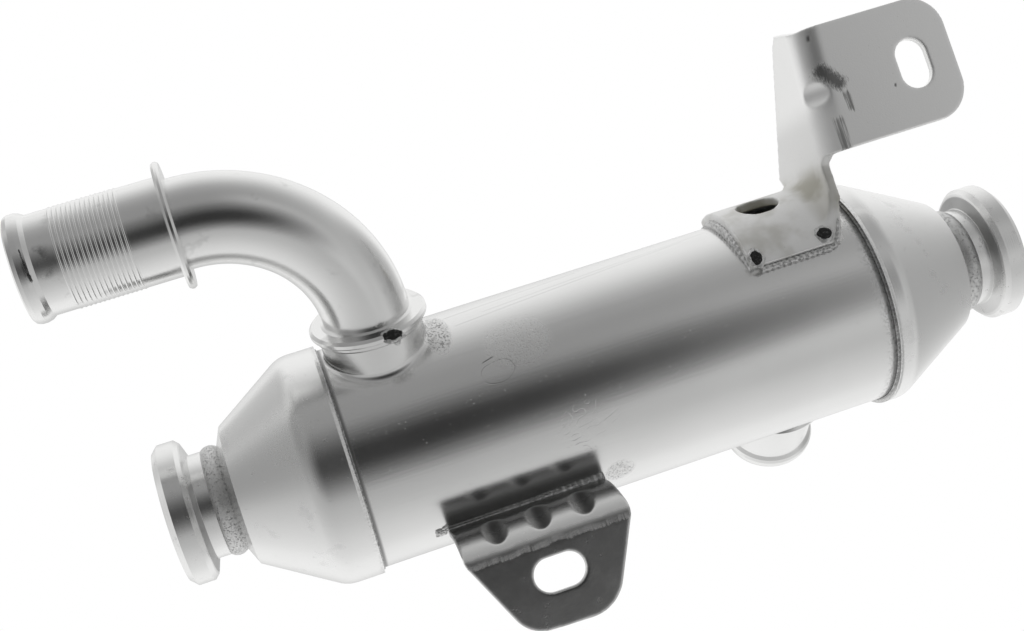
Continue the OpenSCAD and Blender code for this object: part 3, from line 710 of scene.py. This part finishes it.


# Lower bracket: the same sheet, folded down under the shell and pressed with three darts. Its plate
# is smoother and has fine drag marks along the fold. The fold carries a painted highlight band and a
# rougher band of painted shade, the darts carry painted shade, and the ramp carries a painted dark
# reflection where it meets the shell.
def lower_plate_finish():
    made, at = start_finish("folded_bright_sheet")
    _, y, z = in_mm(at)
    cloud = at.noise(55.0, 4.0)
    grain = at.noise(2400.0, 3.0)
    blots = at.noise(380.0, 3.0, roughness=0.7).fade(0.62, 0.72)
    mottle = at.noise(190.0, 4.0, roughness=0.7)
    edge = at.noise(1.0, 3.0, (160.0, 60.0, 60.0), 0.7) * 2.4
    # Rougher band across the fold, darkened with painted shade.
    dull_and_shade = (z + edge).fade(-34.6, -33.8) * (z + edge).fade(-32.2, -31.2, 1.0, 0.0)
    hatch = at.noise(1.0, 2.0, (6400.0, 60.0, 60.0)).fade(0.42, 0.62)
    ticks = (z + edge).fade(-34.8, -34.0) * (z + edge).fade(-33.6, -32.6, 1.0, 0.0) * hatch
    fold_y, fold_z, fold_r = -20.2, -36.02, 10.3
    from_axis = at.maths("SQRT", (y - fold_y) * (y - fold_y) + (z - fold_z) * (z - fold_z))
    # Painted shade in the three darts, inside the fold's radius.
    painted_dent_shade = from_axis.fade(fold_r - 0.4, fold_r - 0.06, 1.0, 0.0) * z.fade(-32.0, -31.6)
    # Painted highlight band across the fold.
    painted_fold_highlight = z.fade(-34.2, -32.8) * y.fade(-27.0, -28.6) * (1.0 - painted_dent_shade)
    # Painted dark reflection over the ramp up to the shell.
    painted_ramp_reflection = y.fade(-27.6, -24.5)
    darker, lighter = cloud.blend(grey(0.54), grey(0.62)), cloud.blend(grey(0.64), grey(0.72))
    tone = mottle.fade(0.35, 0.65).blend(darker, lighter)
    tone = (blots * 0.25).blend(tone, grey(0.25))
    tone = (painted_fold_highlight * 0.95).blend(tone, grey(0.97))
    tone = (dull_and_shade * 0.4).blend(tone, grey(0.3))
    tone = (ticks * 0.35).blend(tone, grey(0.85))
    tone = (painted_ramp_reflection * 0.8).blend(tone, grey(0.24))
    tone = (painted_dent_shade * 0.7).blend(tone, grey(0.26))
    rough = 0.2 + cloud * 0.06 + ticks * 0.2 + dull_and_shade * 0.08 + blots * 0.06 + painted_ramp_reflection * 0.06
    tilt = z.fade(-34.5, -28.0) * -20.0
    height = grain * 0.35 + ticks * 0.8 - blots * 0.3 + mottle * 0.6 + tilt
    return close_finish(made, tone, rough, height, depth=0.00004)


lower_sheet = lower_plate_finish()
wear(nodes["lower_bracket"], lower_sheet)
pressed_copy("lower_bracket_sheet", "lower_bracket", lower_sheet)

# Weld of the lower bracket: a hand-laid bead along the top of its ramp, thin at the left and full
# at the right, with an untidy scribble where it was started.
ramp_x, ramp_w, ramp_steps, ramp_y, ramp_z = 66.4, 42.4, 20, -17.0, -25.15
ramp_top = [(ramp_x + ramp_w * i / ramp_steps, ramp_y, ramp_z, 0.4 + 0.85 * (i / ramp_steps) ** 2)
            for i in range(ramp_steps + 1)]
filler_run("ramp_weld", ramp_top, closed=False, half_mm=1.0, pitch_mm=1.7, share=0.12, seed=17,
           finish=bead_finish)
scribble_r, scribble_steps = shell_r + 0.15, 45
scribble = []
for i in range(scribble_steps + 1):
    t = i / scribble_steps
    a = math.radians(53.6 + 4.6 * t + 1.7 * math.sin(23.0 * t))
    scribble_x = 65.2 - 1.2 * t + 1.25 * math.cos(31.0 * t)
    scribble.append((scribble_x, -scribble_r * math.cos(a), -scribble_r * math.sin(a),
                     0.7 + 0.5 * math.sin(40.0 * t)))
filler_run("ramp_weld_start", scribble, closed=False, half_mm=0.42, pitch_mm=1.1, share=0.2, seed=21,
           finish=bead_finish)


# Floor and studio: a pale floor well below the part, which is held by its brackets, and a soft tent
# of light round it, darkest where the lens looks in. Neither belongs to the part, and their sizes
# are in metres.
def stage_mesh(name, points, faces):
    made = bpy.data.objects.new(name, bpy.data.meshes.new(name))
    made.data.from_pydata(points, [], faces)
    scene.collection.objects.link(made)
    return made


pure_white = (1.0, 1.0, 1.0, 1.0)


def floor_finish():
    made, at = start_finish("pale_floor")
    path = at.node("ShaderNodeLightPath", out="Is Camera Ray")
    seen = path.maths("MAXIMUM", path.also("Is Glossy Ray"), path.also("Is Transmission Ray"))
    seen = path.maths("MAXIMUM", path, seen)
    matt = path.node("ShaderNodeBsdfDiffuse", {}, {"Color": at.noise(8.0).blend(grey(0.78), grey(0.82))})
    white = path.node("ShaderNodeEmission", {}, {"Color": pure_white, "Strength": 1.0})
    both = path.node("ShaderNodeMixShader", {}, {0: seen, 1: matt, 2: white})
    path.node("ShaderNodeOutputMaterial", {}, {"Surface": both})
    return made


floor_half, floor_z = 6.0, -1.25
floor_corners = [(-floor_half, -floor_half, floor_z), (floor_half, -floor_half, floor_z),
                 (floor_half, floor_half, floor_z), (-floor_half, floor_half, floor_z)]
floor = stage_mesh("floor", floor_corners, [(0, 1, 2, 3)])
wear(floor, floor_finish())


def tent_finish():
    made, at = start_finish("light_tent")
    way = at.node("ShaderNodeVectorMath", {"operation": "NORMALIZE"}, {0: at})
    split = way.node("ShaderNodeSeparateXYZ", {}, {0: way})
    side, front, up = split, split.also(1) * -1.0, split.also(2)

    def lobe(direction, start, end):
        near = way.node("ShaderNodeVectorMath", {"operation": "DOT_PRODUCT"},
                        {0: way, 1: tuple(Vector(direction).normalized())}, "Value")
        return near.fade(start, end)

    back_to_front = ((0.0, 0.6), (0.06, 0.8), (0.12, 0.95), (0.3, 0.92), (0.5, 0.69), (0.65, 0.52),
                     (0.8, 0.41), (1.0, 0.34))
    stops = [(spot, grey(tone)) for spot, tone in back_to_front]
    shade = way.node("ShaderNodeValToRGB", {"stops": stops}, {0: front * 0.5 + 0.5})
    level = shade - up * front.fade(-0.3, 0.4) * 0.14
    level = level * (1.0 - lobe((-0.6, 0.42, 0.69), 0.86, 0.99) * 0.42)
    level = level * (1.0 - lobe((0.95, 0.2, -0.15), 0.75, 1.0) * 0.45)
    level = level * (1.0 - lobe((-0.85, -0.42, 0.3), 0.78, 0.98) * 0.3)
    level = level * (1.0 + side.fade(0.25, 0.5) * front.fade(0.5, 0.8) * 0.4)
    glow = way.node("ShaderNodeEmission", {},
                    {"Color": level.blend(grey(0.0), grey(1.0)), "Strength": 1.07})
    way.node("ShaderNodeOutputMaterial", {}, {"Surface": glow})
    return made


rows, turns, tent_r = 24, 48, 1.1
tent_points = [(tent_r * math.sin(math.pi * i / rows) * math.cos(2 * math.pi * k / turns),
                tent_r * math.sin(math.pi * i / rows) * math.sin(2 * math.pi * k / turns),
                tent_r * math.cos(math.pi * i / rows)) for i in range(rows + 1) for k in range(turns)]
tent_faces = [(i * turns + k, i * turns + (k + 1) % turns, (i + 1) * turns + (k + 1) % turns,
               (i + 1) * turns + k) for i in range(rows) for k in range(turns)]
tent = stage_mesh("light_tent", tent_points, tent_faces)
wear(tent, tent_finish())
tent.visible_camera = False
tent.visible_shadow = False


def lens_card_finish():
    made, at = start_finish("lens_card")
    x, _, z = in_mm(at)
    centre_x, reach = 85.0, 370.0
    aside = x.maths("MAXIMUM", (x - centre_x) / 1.4, (centre_x - x) / 1.5)
    away = x.maths("SQRT", aside * aside + z * z)
    middle_to_edge = ((0.0, 1.0), (0.15, 1.0), (0.243, 0.93), (0.354, 0.73), (0.554, 0.44), (0.743, 0.09),
                      (0.85, 0.0))
    stops = [(spot, grey(tone)) for spot, tone in middle_to_edge]
    cover = away.node("ShaderNodeValToRGB", {"stops": stops}, {0: away / reach})
    clear = away.node("ShaderNodeBsdfTransparent")
    black = away.node("ShaderNodeEmission", {}, {"Color": grey(0.02), "Strength": 1.0})
    both = away.node("ShaderNodeMixShader", {}, {0: cover, 1: clear, 2: black})
    away.node("ShaderNodeOutputMaterial", {}, {"Surface": both})
    return made


card_left, card_right, card_y, card_half = -0.6, 0.8, -0.43, 0.42
card_corners = [(card_left, card_y, -card_half), (card_right, card_y, -card_half),
                (card_right, card_y, card_half), (card_left, card_y, card_half)]
card = stage_mesh("lens_card", card_corners, [(0, 1, 2, 3)])
wear(card, lens_card_finish())
card.visible_camera = False
card.visible_shadow = False
card.visible_diffuse = False

scene.world = bpy.data.worlds.new("white_room")
scene.world.use_nodes = True
scene.world.node_tree.nodes.clear()
ray = Flow(scene.world.node_tree).node("ShaderNodeLightPath", out="Is Camera Ray")
shown = ray.maths("MAXIMUM", ray.also("Is Glossy Ray"), ray.also("Is Transmission Ray"))
shown = ray.maths("MAXIMUM", ray, shown)
room = ray.node("ShaderNodeBackground", {}, {"Color": shown.blend(grey(0.6), pure_white), "Strength": 1.0})
ray.node("ShaderNodeOutputWorld", {}, {"Surface": room})


# Camera: level with the shell, in front of the inlet end and turned over to the right, as the
# photograph was.
camera = bpy.data.objects.new("camera", bpy.data.cameras.new("camera"))
camera.data.sensor_fit = "HORIZONTAL"
camera.data.sensor_width = 36.0
camera.data.lens = 51.24
camera.data.clip_start = 0.01
camera.matrix_world = Matrix(((0.941928, 0.30001, -0.150884, 0.04185),
                              (-0.125547, -0.102126, -0.986817, -0.3911),
                              (-0.311465, 0.948454, -0.05853, 0.0),
                              (0.0, 0.0, 0.0, 1.0)))
scene.collection.objects.link(camera)
scene.camera = camera
